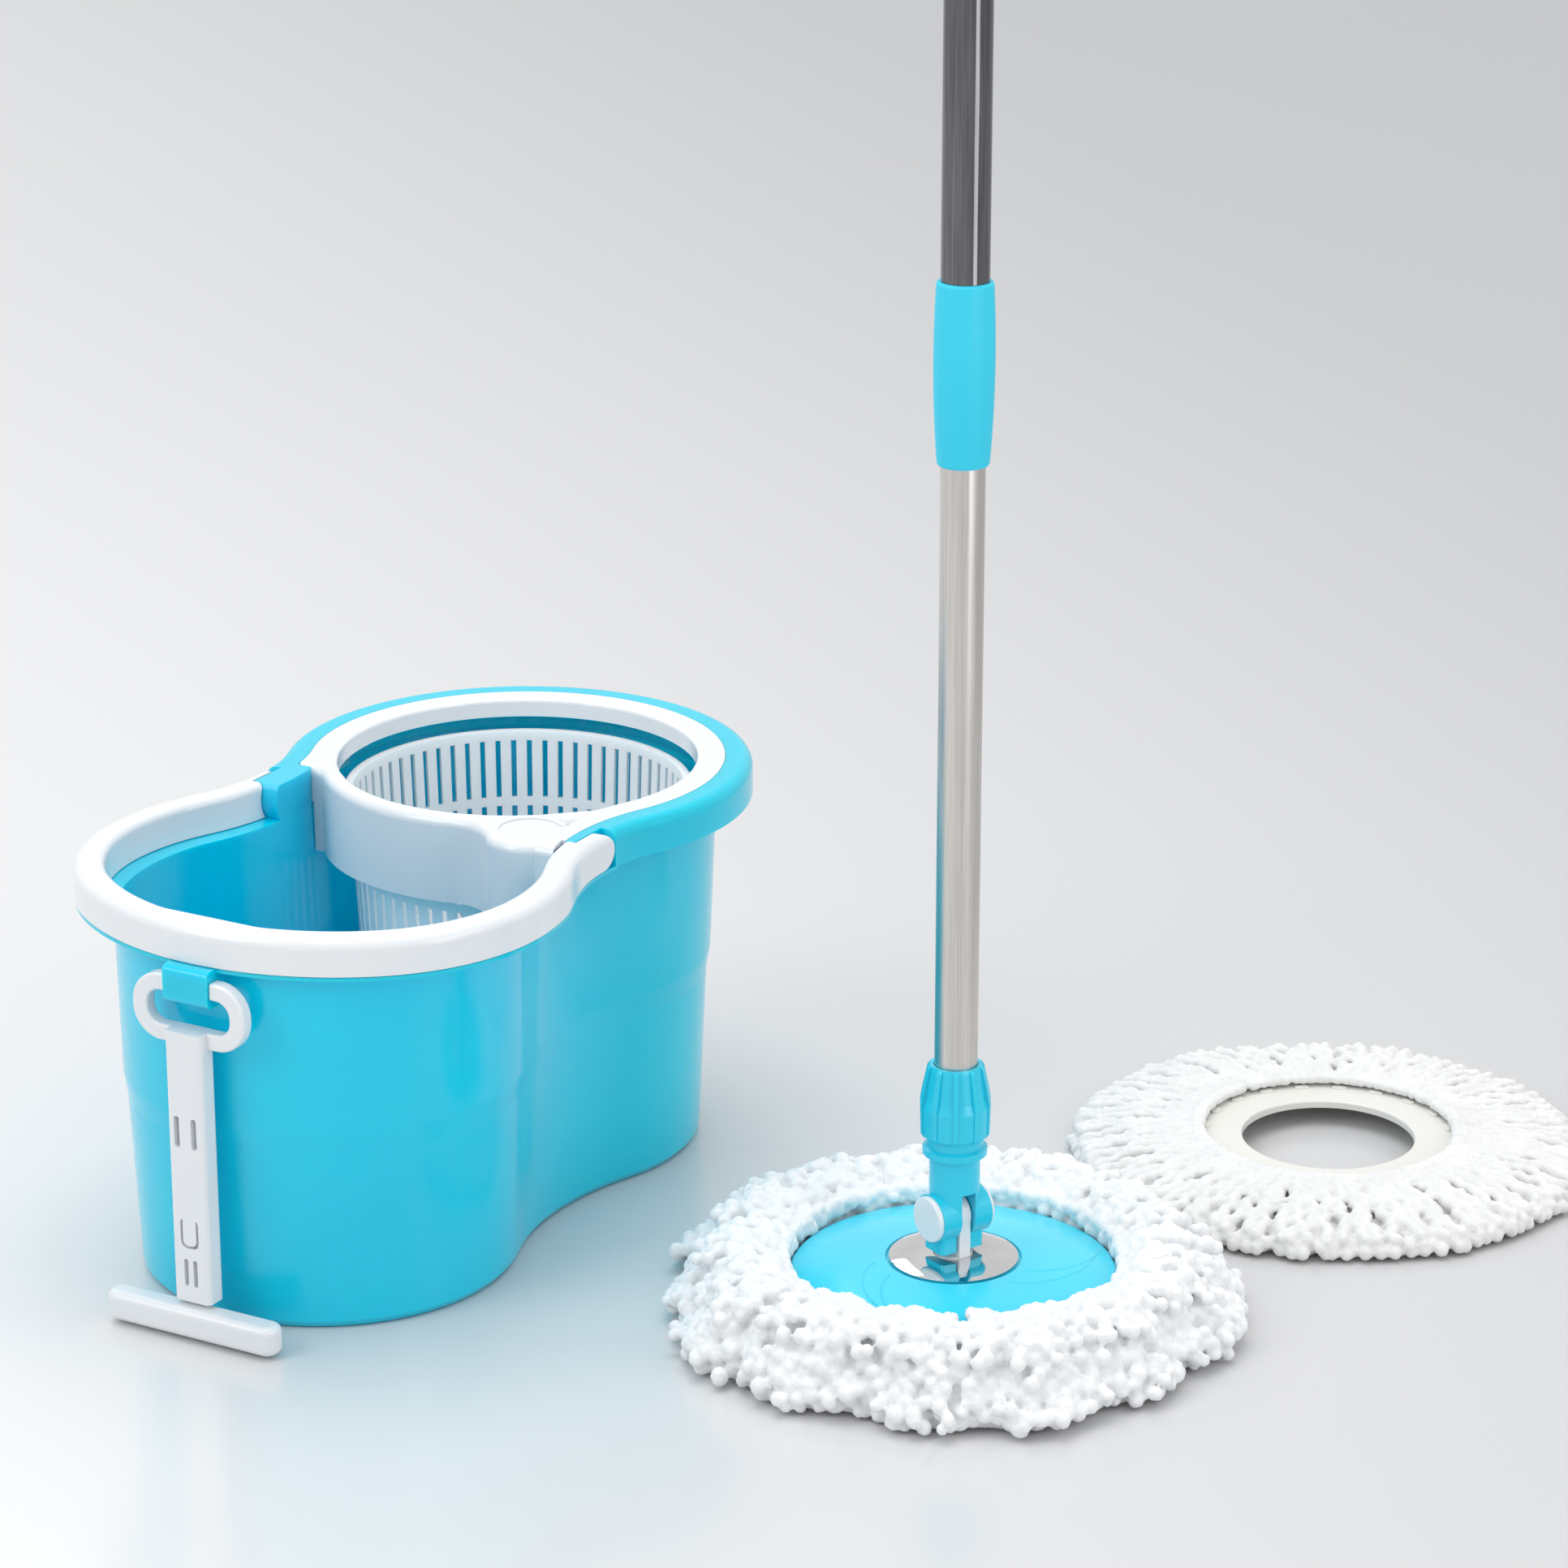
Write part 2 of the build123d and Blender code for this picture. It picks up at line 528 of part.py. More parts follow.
with BuildPart() as tow_rod:
    with BuildSketch(Plane.XY.offset(GRIP_HIGH + 0.2)):
        with Locations((BAR_X, 0)):
            Rectangle(TOW_ROD_THICK, TOW_ROD_WIDE)
    extrude(amount=TOW_ROD_TOP - GRIP_HIGH)
tow_rod.part.label = "tow_rod"
export_step(tow_rod.part, "parts/tow_rod.step")

with BuildPart() as tow_grip:
    with BuildSketch(Plane.XY.offset(GRIP_LOW)):
        with Locations((GRIP_X, 0)):
            RectangleRounded(GRIP_THICK, GRIP_LONG, 7)
    extrude(amount=GRIP_HIGH - GRIP_LOW)
    fillet(tow_grip.faces().filter_by(Axis.Z).edges(), 4)
tow_grip.part.label = "tow_grip"
export_step(tow_grip.part, "parts/tow_grip.step")

# ---- Rollers under the wringer end ----------------------------------------------------------------------
with BuildPart() as roller_left:
    with BuildSketch(Plane.XZ.offset(-ROLLER_Y)):
        with Locations((ROLLER_X, ROLLER_Z)):
            Circle(ROLLER_R)
            Circle(AXLE_R + PIN_FIT, mode=Mode.SUBTRACT)
    extrude(amount=ROLLER_WIDE / 2, both=True)
roller_left.part.label = "roller_left"
export_step(roller_left.part, "parts/roller_left.step")

with BuildPart() as roller_right:
    add(mirror(roller_left.part, about=Plane.XZ, mode=Mode.PRIVATE))
roller_right.part.label = "roller_right"
export_step(roller_right.part, "parts/roller_right.step")

with BuildPart() as roller_axles:
    for side in (1, -1):
        with BuildSketch(Plane.XZ.offset(side * (ROLLER_Y - 7.8))):
            with Locations((ROLLER_X, ROLLER_Z)):
                Circle(AXLE_R)
        extrude(amount=side * 15.6)
roller_axles.part.label = "roller_axles"
export_step(roller_axles.part, "parts/roller_axles.step")

# ---- Mop: fork at the foot of the handle ----------------------------------------------------------------
with BuildPart() as neck_fork:
    turn_outline(
        MOP_X,
        MOP_Y,
        (0, TILT_Z),
        (FORK_R, TILT_Z),
        (FORK_R, 92),
        (16.5, 93.5),
        (16.5, 97),
        (14.5, 98),
        (14.5, TUBE_LOW - 0.1),
        (TUBE_IN_R - 0.05, TUBE_LOW - 0.1),
        (TUBE_IN_R - 0.05, 150),
        (0, 150),
    )
    with BuildSketch(mop_level(TILT_Z - 18.5)):
        RectangleRounded(2 * FORK_R, 16, 2)
    extrude(amount=18.5)
    with BuildSketch(across_pin(0)):
        Circle(FORK_BOSS_R)
    extrude(amount=FORK_BOSS_HALF, both=True)
    with BuildSketch(mop_level(TILT_Z - 30)):
        Rectangle(FORK_GAP, 60)
    extrude(amount=44, mode=Mode.SUBTRACT)
    with BuildSketch(across_pin(0)):
        Circle(TILT_PIN_R + 0.02)
    extrude(amount=40, both=True, mode=Mode.SUBTRACT)
neck_fork.part.label = "neck_fork"
export_step(neck_fork.part, "parts/neck_fork.step")

with BuildPart() as hinge_pin:
    with BuildSketch(across_pin(0)):
        Circle(TILT_PIN_R)
    extrude(amount=FORK_BOSS_HALF - 0.1, both=True)
hinge_pin.part.label = "hinge_pin"
export_step(hinge_pin.part, "parts/hinge_pin.step")

pin_axis = Axis((MOP_X, MOP_Y, TILT_Z), (cos(radians(PIN_TURN)), sin(radians(PIN_TURN)), 0))
with BuildPart() as hinge_caps:
    for side in (1, -1):
        with BuildSketch(across_pin(side * (FORK_BOSS_HALF + 0.05))):
            Circle(12)
        extrude(amount=side * 2.6)
    for outer_face in (hinge_caps.faces().sort_by(pin_axis)[0], hinge_caps.faces().sort_by(pin_axis)[-1]):
        fillet(outer_face.edges(), 1.5)
hinge_caps.part.label = "hinge_caps"
export_step(hinge_caps.part, "parts/hinge_caps.step")

# ---- Mop: tubes, lock collar and grip -------------------------------------------------------------------
with BuildPart() as lower_tube:
    turn_tube(MOP_X, MOP_Y, TUBE_IN_R, TUBE_R, TUBE_LOW, TUBE_TOP)
lower_tube.part.label = "lower_tube"
export_step(lower_tube.part, "parts/lower_tube.step")

with BuildPart() as lock_collar:
    # ten ribs, trimmed to the collar's barrel shape
    with BuildSketch(mop_level(COLLAR_LOW)):
        with PolarLocations(COLLAR_R - 3, COLLAR_RIBS, start_angle=18):
            Rectangle(8, COLLAR_RIB_WIDE)
    extrude(amount=COLLAR_TOP - COLLAR_LOW)
    turn_outline(
        MOP_X,
        MOP_Y,
        (0, COLLAR_LOW),
        (COLLAR_R - 1.8, COLLAR_LOW),
        (COLLAR_R - 0.4, COLLAR_LOW + 2),
        (COLLAR_R, COLLAR_STEP),
        (COLLAR_R - 1, COLLAR_STEP + 6),
        (COLLAR_R - 3.8, COLLAR_TOP - 1.5),
        (COLLAR_R - 5, COLLAR_TOP),
        (0, COLLAR_TOP),
        mode=Mode.INTERSECT,
    )
    # body between the ribs, stepped in above the middle
    turn_outline(
        MOP_X,
        MOP_Y,
        (0, COLLAR_LOW),
        (COLLAR_R - 2.2, COLLAR_LOW),
        (COLLAR_R - 1.1, COLLAR_LOW + 1.5),
        (COLLAR_R - 0.8, COLLAR_STEP - 2),
        (COLLAR_R - 2.4, COLLAR_STEP + 3),
        (COLLAR_R - 4.9, COLLAR_TOP - 1.5),
        (COLLAR_R - 5.4, COLLAR_TOP),
        (0, COLLAR_TOP),
    )
    turn_tube(MOP_X, MOP_Y, 0, TUBE_R + 0.3, COLLAR_LOW - 1, COLLAR_TOP + 1, mode=Mode.SUBTRACT)
lock_collar.part.label = "lock_collar"
export_step(lock_collar.part, "parts/lock_collar.step")

with BuildPart() as upper_tube:
    turn_tube(MOP_X, MOP_Y, UPPER_IN_R, UPPER_R, UPPER_LOW, UPPER_TOP)
upper_tube.part.label = "upper_tube"
export_step(upper_tube.part, "parts/upper_tube.step")

with BuildPart() as grip_sleeve:
    with BuildSketch(radial(MOP_X, MOP_Y)):
        with BuildLine():
            middle = (SLEEVE_LOW + SLEEVE_TOP) / 2
            Polyline(
                (13.0, SLEEVE_LOW + 1.2),
                (12.4, SLEEVE_LOW),
                (TUBE_R + 0.35, SLEEVE_LOW),
                (TUBE_R + 0.35, UPPER_LOW - 0.1),
                (UPPER_R + 0.03, UPPER_LOW - 0.1),
                (UPPER_R + 0.03, SLEEVE_TOP),
                (13.2, SLEEVE_TOP),
                (14.0, SLEEVE_TOP - 1.2),
            )
            ThreePointArc((14.0, SLEEVE_TOP - 1.2), (15.0, middle), (13.0, SLEEVE_LOW + 1.2))
        make_face()
    revolve(axis=Axis((MOP_X, MOP_Y, 0), (0, 0, 1)))
grip_sleeve.part.label = "grip_sleeve"
export_step(grip_sleeve.part, "parts/grip_sleeve.step")

with BuildPart() as end_cap:
    turn_outline(
        MOP_X,
        MOP_Y,
        (8.5, UPPER_TOP - 25),
        (UPPER_IN_R - 0.05, UPPER_TOP - 25),
        (UPPER_IN_R - 0.05, UPPER_TOP + 0.1),
        (12.8, UPPER_TOP + 0.1),
        (12.8, HANG_Z + 12),
        (0, HANG_Z + 12),
        (0, UPPER_TOP + 3),
        (8.5, UPPER_TOP - 1),
    )
    fillet(end_cap.faces().sort_by(Axis.Z)[-1].edges(), 9)
    with BuildSketch(Plane.YZ.offset(MOP_X)):
        with Locations((MOP_Y, HANG_Z)):
            Circle(HANG_R)
    extrude(amount=20, both=True, mode=Mode.SUBTRACT)
end_cap.part.label = "end_cap"
export_step(end_cap.part, "parts/end_cap.step")

# ---- Mop: the twisted strip and nut that turn a push into a spin ----------------------------------------
strip_turns = 360 / ROD_PITCH  # degrees for each millimetre of rise


def twisted_strip(wide, thick, low, high):
    """A flat strip on the mop's axis that twists once in every ROD_PITCH of height."""
    with BuildSketch(mop_level(low)) as section:
        Rectangle(wide, thick, rotation=(low - ROD_LOW) * strip_turns)
    return Solid.extrude_linear_with_rotation(
        section.sketch.face(), (MOP_X, MOP_Y, low), (0, 0, high - low), (high - low) * strip_turns
    )


drive_strip = twisted_strip(ROD_WIDE, ROD_THICK, ROD_LOW, ROD_TOP)
with BuildPart() as drive_rod:
    add(drive_strip)
drive_rod.part.label = "drive_rod"
export_step(drive_rod.part, "parts/drive_rod.step")

nut_slot = twisted_strip(ROD_WIDE + 0.7, ROD_THICK + 0.7, NUT_LOW - 1, NUT_TOP + 1)
with BuildPart() as drive_nut:
    turn_tube(MOP_X, MOP_Y, 0, TUBE_IN_R - 0.06, NUT_LOW, NUT_TOP)
    add(nut_slot, mode=Mode.SUBTRACT)
drive_nut.part.label = "drive_nut"
export_step(drive_nut.part, "parts/drive_nut.step")

with BuildPart() as nut_seat:
    turn_tube(MOP_X, MOP_Y, 5.5, TUBE_IN_R, NUT_LOW - 10, NUT_LOW - 0.4)
nut_seat.part.label = "nut_seat"
export_step(nut_seat.part, "parts/nut_seat.step")

with BuildPart() as rod_anchor:
    turn_tube(MOP_X, MOP_Y, 0, UPPER_IN_R - 0.05, ROD_TOP + 0.05, ROD_TOP + 20)
rod_anchor.part.label = "rod_anchor"
export_step(rod_anchor.part, "parts/rod_anchor.step")

# ---- Mop head: stem, plate, chrome cover, ring and strands ----------------------------------------------
with BuildPart() as head_stem:
    turn_outline(
        MOP_X,
        MOP_Y,
        (0, 28),
        (STEM_FOOT_R, 28),
        (STEM_FOOT_R, 30.9),
        (STEM_NECK_R, 30.9),
        (STEM_NECK_R, 38.6),
        (6.5, 38.9),
        (3.8, 39.7),
        (0, 39.7),
    )
    with BuildSketch(across_pin(0)):
        Circle(10)
        with Locations((-12.5, 0)):
            Rectangle(25, 19)
    extrude(amount=BLADE_THICK / 2, both=True)
    with BuildSketch(across_pin(0)):
        Circle(TILT_PIN_R + PIN_FIT)
    extrude(amount=10, both=True, mode=Mode.SUBTRACT)
head_stem.part.label = "head_stem"
export_step(head_stem.part, "parts/head_stem.step")

with BuildPart() as head_plate:
    with BuildSketch(radial(MOP_X, MOP_Y)):
        with BuildLine():
            ThreePointArc((35.0, 35.6), (60, 33.2), (PLATE_R - 1.5, 28.8))
            Polyline(
                (PLATE_R - 1.5, 28.8),
                (PLATE_R, 27.4),
                (PLATE_R, 23.5),
                (PLATE_R - 2.5, 23.5),
                (PLATE_R - 2.5, 26.2),
            )
            ThreePointArc((PLATE_R - 2.5, 26.2), (65, 30.0), (47.5, 31.8))
            Polyline(
                (47.5, 31.8),
                (47.5, 13.2),
                (44.5, 13.2),
                (44.5, 31.3),
                (23, 31.3),
                (23, 27.4),
                (STEM_FOOT_R + 0.5, 27.4),
                (STEM_FOOT_R + 0.5, 31.3),
                (STEM_NECK_R + 0.5, 31.3),
                (STEM_NECK_R + 0.5, 33.6),
                (35.0, 33.6),
                (35.0, 35.6),
            )
        make_face()
    revolve(axis=Axis((MOP_X, MOP_Y, 0), (0, 0, 1)))
    with BuildSketch(mop_level(27.4)):
        with PolarLocations(18.8, 3):
            Circle(1.3)
    extrude(amount=3, mode=Mode.SUBTRACT)
head_plate.part.label = "head_plate"
export_step(head_plate.part, "parts/head_plate.step")

with BuildPart() as chrome_cover:
    with BuildSketch(radial(MOP_X, MOP_Y)):
        with BuildLine():
            Polyline((STEM_NECK_R + 0.5, 38.1), (STEM_NECK_R + 0.5, 33.7), (CHROME_R, 33.7), (CHROME_R, 36.2))
            ThreePointArc((CHROME_R, 36.2), (26.5, 37.7), (STEM_NECK_R + 0.5, 38.1))
        make_face()
    revolve(axis=Axis((MOP_X, MOP_Y, 0), (0, 0, 1)))
chrome_cover.part.label = "chrome_cover"
export_step(chrome_cover.part, "parts/chrome_cover.step")

with BuildPart() as swivel_retainer:
    turn_tube(MOP_X, MOP_Y, 8, 22.5, 24.8, 27.3)
    with BuildSketch(mop_level(24.8)):
        with PolarLocations(18.8, 3):
            Circle(1.6)
    extrude(amount=3, mode=Mode.SUBTRACT)
swivel_retainer.part.label = "swivel_retainer"
export_step(swivel_retainer.part, "parts/swivel_retainer.step")

with BuildPart() as plate_screws:
    with BuildSketch(mop_level(23.2)):
        with PolarLocations(18.8, 3):
            Circle(2.8)
    extrude(amount=1.5)
    with BuildSketch(mop_level(24.0)):
        with PolarLocations(18.8, 3):
            Circle(1.25)
    extrude(amount=6)
plate_screws.part.label = "plate_screws"
export_step(plate_screws.part, "parts/plate_screws.step")

with BuildPart() as mop_ring:
    turn_tube(MOP_X, MOP_Y, RING_IN_R, RING_OUT_R, 13, 19)
    with BuildSketch(mop_level(13)):
        with PolarLocations(66, 20):
            SlotOverall(10, 5, rotation=90)
    extrude(amount=6, mode=Mode.SUBTRACT)
mop_ring.part.label = "mop_ring"
export_step(mop_ring.part, "parts/mop_ring.step")

with BuildPart() as mop_strands:
    turn_outline(
        MOP_X,
        MOP_Y,
        (52, 0.3),
        (HEAD_R - 7, 0.3),
        (HEAD_R, 8),
        (HEAD_R - 1, 22),
        (HEAD_R - 12, 37),
        (HEAD_R - 33, 44),
        (91, 41),
        (86.5, 30),
        (86.5, 21),
        (77, 21),
        (77, 12.5),
        (52, 12.5),
    )
mop_strands.part.label = "mop_strands"
export_step(mop_strands.part, "parts/mop_strands.step")

# ---- Spare ring -----------------------------------------------------------------------------------------
with BuildPart() as refill_ring:
    turn_tube(SPARE_X, SPARE_Y, 47.5, 75, 10, 14)
    fillet(refill_ring.faces().sort_by(Axis.Z)[-1].edges(), 1)
    with BuildSketch(Plane(origin=(SPARE_X, SPARE_Y, 14))):
        with PolarLocations(67.5, 20):
            SlotOverall(8, 4.5, rotation=90)
    extrude(amount=0.8)
refill_ring.part.label = "refill_ring"
export_step(refill_ring.part, "parts/refill_ring.step")

with BuildPart() as refill_strands:
    turn_outline(
        SPARE_X,
        SPARE_Y,
        (52, 0.3),
        (SPARE_R - 5, 0.3),
        (SPARE_R, 5),
        (SPARE_R - 4, 13),
        (SPARE_R - 25, 20),
        (90, 19),
        (77, 15),
        (75.5, 9.6),
        (52, 9.6),
    )
refill_strands.part.label = "refill_strands"
export_step(refill_strands.part, "parts/refill_strands.step")
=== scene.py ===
"""The looks of the spin mop set: materials for the CAD parts, strands for the mop and the spare ring."""

import math

import bmesh
import bpy
import numpy as np
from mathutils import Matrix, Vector


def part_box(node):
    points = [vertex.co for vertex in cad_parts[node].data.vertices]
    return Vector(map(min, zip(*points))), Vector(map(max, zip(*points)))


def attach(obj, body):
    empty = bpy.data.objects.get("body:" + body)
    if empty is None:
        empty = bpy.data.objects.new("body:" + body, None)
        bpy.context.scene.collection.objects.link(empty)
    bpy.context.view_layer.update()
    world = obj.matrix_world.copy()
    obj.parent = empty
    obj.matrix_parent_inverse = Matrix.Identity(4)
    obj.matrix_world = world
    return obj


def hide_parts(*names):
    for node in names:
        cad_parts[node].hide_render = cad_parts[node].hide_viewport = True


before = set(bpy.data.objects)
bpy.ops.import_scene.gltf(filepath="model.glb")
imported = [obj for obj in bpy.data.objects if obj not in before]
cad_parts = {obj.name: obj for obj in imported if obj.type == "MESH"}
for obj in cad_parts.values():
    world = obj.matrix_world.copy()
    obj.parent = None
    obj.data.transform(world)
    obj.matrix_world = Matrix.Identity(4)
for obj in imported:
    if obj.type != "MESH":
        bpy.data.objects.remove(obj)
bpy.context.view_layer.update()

TAU = 2 * math.pi


def middle(node):
    """The point under the middle of a CAD node, on the floor."""
    low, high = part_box(node)
    return Vector(((low.x + high.x) / 2, (low.y + high.y) / 2, 0))


MOP = middle("mop_ring")
SPARE = middle("refill_ring")
TUB = middle("bucket_shell")
BASKET = middle("spin_basket")


# ---- Camera ---------------------------------------------------------------------------------------------
CAMERA_PLACE = (-2.1004, -1.3881, 1.0931)
CAMERA_AIM = Vector((0.82593, 0.46058, -0.32513))


def add_camera():
    """A camera that looks about 19 degrees down through a long lens."""
    camera = bpy.data.objects.new("camera", bpy.data.cameras.new("camera"))
    bpy.context.scene.collection.objects.link(camera)
    camera.location = CAMERA_PLACE
    camera.rotation_euler = CAMERA_AIM.to_track_quat("-Z", "Y").to_euler()
    camera.data.lens = 114.3
    camera.data.sensor_width = 36
    camera.data.clip_start = 0.05
    bpy.context.scene.camera = camera


add_camera()
bpy.context.scene.view_settings.view_transform = "Standard"


# ---- Materials ------------------------------------------------------------------------------------------
def new_material(name):
    """An empty node material with one Principled shader: material, nodes, links and shader."""
    material = bpy.data.materials.new(name)
    material.use_nodes = True
    nodes = material.node_tree.nodes
    nodes.clear()
    output = nodes.new("ShaderNodeOutputMaterial")
    shader = nodes.new("ShaderNodeBsdfPrincipled")
    material.node_tree.links.new(shader.outputs["BSDF"], output.inputs["Surface"])
    return material, nodes, material.node_tree.links, shader


def noise(nodes, links, scale, detail, stretch=None, distortion=0.0):
    """A noise texture in object space; scale is in features per metre, and stretch scales each axis."""
    place = nodes.new("ShaderNodeTexCoord")
    texture = nodes.new("ShaderNodeTexNoise")
    texture.inputs["Scale"].default_value = scale
    texture.inputs["Detail"].default_value = detail
    texture.inputs["Distortion"].default_value = distortion
    source = place.outputs["Object"]
    if stretch:
        mapping = nodes.new("ShaderNodeMapping")
        mapping.inputs["Scale"].default_value = stretch
        links.new(source, mapping.inputs["Vector"])
        source = mapping.outputs["Vector"]
    links.new(source, texture.inputs["Vector"])
    return texture.outputs["Fac"]


def ramp(nodes, links, value, low, high, low_at=0.3, high_at=0.7):
    """A colour that runs from low to high as value goes from low_at to high_at."""
    band = nodes.new("ShaderNodeValToRGB")
    band.color_ramp.elements[0].position = low_at
    band.color_ramp.elements[0].color = (*low, 1)
    band.color_ramp.elements[1].position = high_at
    band.color_ramp.elements[1].color = (*high, 1)
    links.new(value, band.inputs["Fac"])
    return band.outputs["Color"]


def spread(nodes, links, value, low, high):
    """Maps a 0..1 value to low..high."""
    scale = nodes.new("ShaderNodeMapRange")
    scale.inputs["To Min"].default_value = low
    scale.inputs["To Max"].default_value = high
    links.new(value, scale.inputs["Value"])
    return scale.outputs["Result"]


def bump(nodes, links, shader, height, strength, distance, before=None):
    """Bumps the shader's normal by a height, over an earlier bump if there is one."""
    node = nodes.new("ShaderNodeBump")
    node.inputs["Strength"].default_value = strength
    node.inputs["Distance"].default_value = distance
    links.new(height, node.inputs["Height"])
    if before is not None:
        links.new(before, node.inputs["Normal"])
    links.new(node.outputs["Normal"], shader.inputs["Normal"])
    return node.outputs["Normal"]


def plastic(name, low, high, rough, coat, grain=0.00006, glow=None):
    """Moulded plastic: slow colour clouds, a faint orange-peel grain and patches of duller gloss.

    Low and high are its two colours, and rough the range of its roughness. Glow is the share of light that
    passes into thin walls, and how far each colour of it goes, in metres.
    """
    material, nodes, links, shader = new_material(name)
    tint = noise(nodes, links, 6.0, 4)
    links.new(ramp(nodes, links, tint, low, high), shader.inputs["Base Color"])
    smear = noise(nodes, links, 22.0, 5, distortion=0.6)
    links.new(spread(nodes, links, smear, *rough), shader.inputs["Roughness"])
    peel = noise(nodes, links, 420.0, 2)
    waves = noise(nodes, links, 14.0, 1)
    first = bump(nodes, links, shader, waves, 0.35, 0.0006)
    bump(nodes, links, shader, peel, 0.25, grain, first)
    if glow:
        shader.inputs["Subsurface Weight"].default_value = glow[0]
        shader.inputs["Subsurface Radius"].default_value = glow[1]
        shader.inputs["Subsurface Scale"].default_value = 1.0
    shader.inputs["Coat Weight"].default_value = coat
    shader.inputs["Coat Roughness"].default_value = 0.12
    shader.inputs["IOR"].default_value = 1.5
    return material


def metal(name, low, high, rough, stretch, brush=0.00004, brush_scale=900.0):
    """Metal with fine brush lines; stretch says which way the lines run."""
    material, nodes, links, shader = new_material(name)
    shader.inputs["Metallic"].default_value = 1.0
    lines = noise(nodes, links, brush_scale, 2, stretch)
    links.new(ramp(nodes, links, lines, low, high), shader.inputs["Base Color"])
    smear = noise(nodes, links, 30.0, 4)
    links.new(spread(nodes, links, smear, *rough), shader.inputs["Roughness"])
    bump(nodes, links, shader, lines, 0.2, brush)
    return material


def fluff(name, low, high, fine=900.0):
    """White microfibre: nubs of looped pile over soft colour changes."""
    material, nodes, links, shader = new_material(name)
    tint = noise(nodes, links, 60.0, 4)
    links.new(ramp(nodes, links, tint, low, high), shader.inputs["Base Color"])
    shader.inputs["Roughness"].default_value = 0.95
    shader.inputs["Sheen Weight"].default_value = 0.35
    shader.inputs["Sheen Roughness"].default_value = 0.5
    shader.inputs["Specular IOR Level"].default_value = 0.15
    shader.inputs["Subsurface Weight"].default_value = 0.45
    shader.inputs["Subsurface Radius"].default_value = (0.006, 0.006, 0.006)
    shader.inputs["Subsurface Scale"].default_value = 1.0
    tufts = noise(nodes, links, fine * 0.35, 4, distortion=0.8)
    fibres = noise(nodes, links, fine, 5)
    first = bump(nodes, links, shader, tufts, 0.6, 0.0012)
    bump(nodes, links, shader, fibres, 0.6, 0.0004, first)
    return material


def calculate(nodes, links, operation, value, other):
    """A maths node on a value and another value or number."""
    node = nodes.new("ShaderNodeMath")
    node.operation = operation
    links.new(value, node.inputs[0])
    if isinstance(other, float):
        node.inputs[1].default_value = other
    else:
        links.new(other, node.inputs[1])
    return node.outputs["Value"]


def tint_inside(material, colour, below, centre, towards):
    """Gives a material another colour under a height, on the far side of a centre."""
    nodes, links = material.node_tree.nodes, material.node_tree.links
    shader = nodes["Principled BSDF"]
    place = nodes.new("ShaderNodeTexCoord").outputs["Object"]
    split = nodes.new("ShaderNodeSeparateXYZ")
    links.new(place, split.inputs["Vector"])
    under = calculate(nodes, links, "LESS_THAN", split.outputs["Z"], below)
    along = nodes.new("ShaderNodeVectorMath")
    along.operation = "DOT_PRODUCT"
    along.inputs[1].default_value = towards
    links.new(place, along.inputs[0])
    beyond = calculate(nodes, links, "GREATER_THAN", along.outputs["Value"], centre.dot(towards))
    # a Mix node has its colours at inputs 6 and 7 and output 2
    mix = nodes.new("ShaderNodeMix")
    mix.data_type = "RGBA"
    links.new(calculate(nodes, links, "MULTIPLY", under, beyond), mix.inputs["Factor"])
    links.new(shader.inputs["Base Color"].links[0].from_socket, mix.inputs[6])
    mix.inputs[7].default_value = (*colour, 1)
    links.new(mix.outputs[2], shader.inputs["Base Color"])
    return material


TURQUOISE = plastic(
    "turquoise_moulding",
    (0.0, 0.55, 0.78),
    (0.0, 0.61, 0.84),
    (0.14, 0.22),
    0.12,
    glow=(0.5, (0.001, 0.008, 0.012)),
)
CYAN = plastic("cyan_moulding", (0.01, 0.56, 0.76), (0.03, 0.63, 0.82), (0.22, 0.34), 0.15)
GRIP = plastic("cyan_grip", (0.02, 0.60, 0.82), (0.04, 0.67, 0.88), (0.42, 0.55), 0.0, 0.0001)
PLATE = plastic("plate_moulding", (0.03, 0.62, 0.82), (0.07, 0.69, 0.87), (0.22, 0.32), 0.2)
WHITE_FINISH = ((0.755, 0.785, 0.815), (0.805, 0.83, 0.85), (0.16, 0.26), 0.25)
WHITE = plastic("white_moulding", *WHITE_FINISH)
ICE = plastic(
    "basket_moulding",
    (0.80, 0.89, 0.94),
    (0.85, 0.92, 0.96),
    (0.18, 0.28),
    0.25,
    glow=(0.5, (0.004, 0.007, 0.008)),
)
# the surround is white, but its inner wall, seen under the lip of the basket's mouth, takes the tub's blue
LIP_DEPTH = 0.0098
SURROUND = tint_inside(
    plastic("surround_moulding", *WHITE_FINISH),
    (0.0, 0.62, 0.86),
    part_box("basket_holder")[1].z - LIP_DEPTH,
    BASKET,
    (BASKET - TUB).normalized(),
)
CREAM = plastic("cream_moulding", (0.72, 0.71, 0.665), (0.77, 0.76, 0.72), (0.3, 0.42), 0.05)
GREY = plastic("grey_moulding", (0.22, 0.23, 0.25), (0.28, 0.29, 0.31), (0.4, 0.55), 0.0)
DARK_STEEL = metal("polished_tube", (0.13, 0.13, 0.14), (0.20, 0.20, 0.21), (0.08, 0.14), (1, 1, 0.02))
SATIN_STEEL = metal("satin_tube", (0.58, 0.55, 0.52), (0.70, 0.67, 0.64), (0.28, 0.38), (1, 1, 0.02))
CHROME = metal("chrome", (0.66, 0.65, 0.65), (0.80, 0.79, 0.79), (0.03, 0.07), (1, 1, 1), 0.0012, 38.0)
STEEL = metal("plain_steel", (0.45, 0.45, 0.46), (0.58, 0.58, 0.59), (0.25, 0.35), (1, 1, 0.1))
PILE = fluff("white_pile", (0.79, 0.80, 0.81), (0.85, 0.86, 0.87))
YARN = fluff("white_yarn", (0.72, 0.72, 0.715), (0.80, 0.80, 0.795), 1100.0)

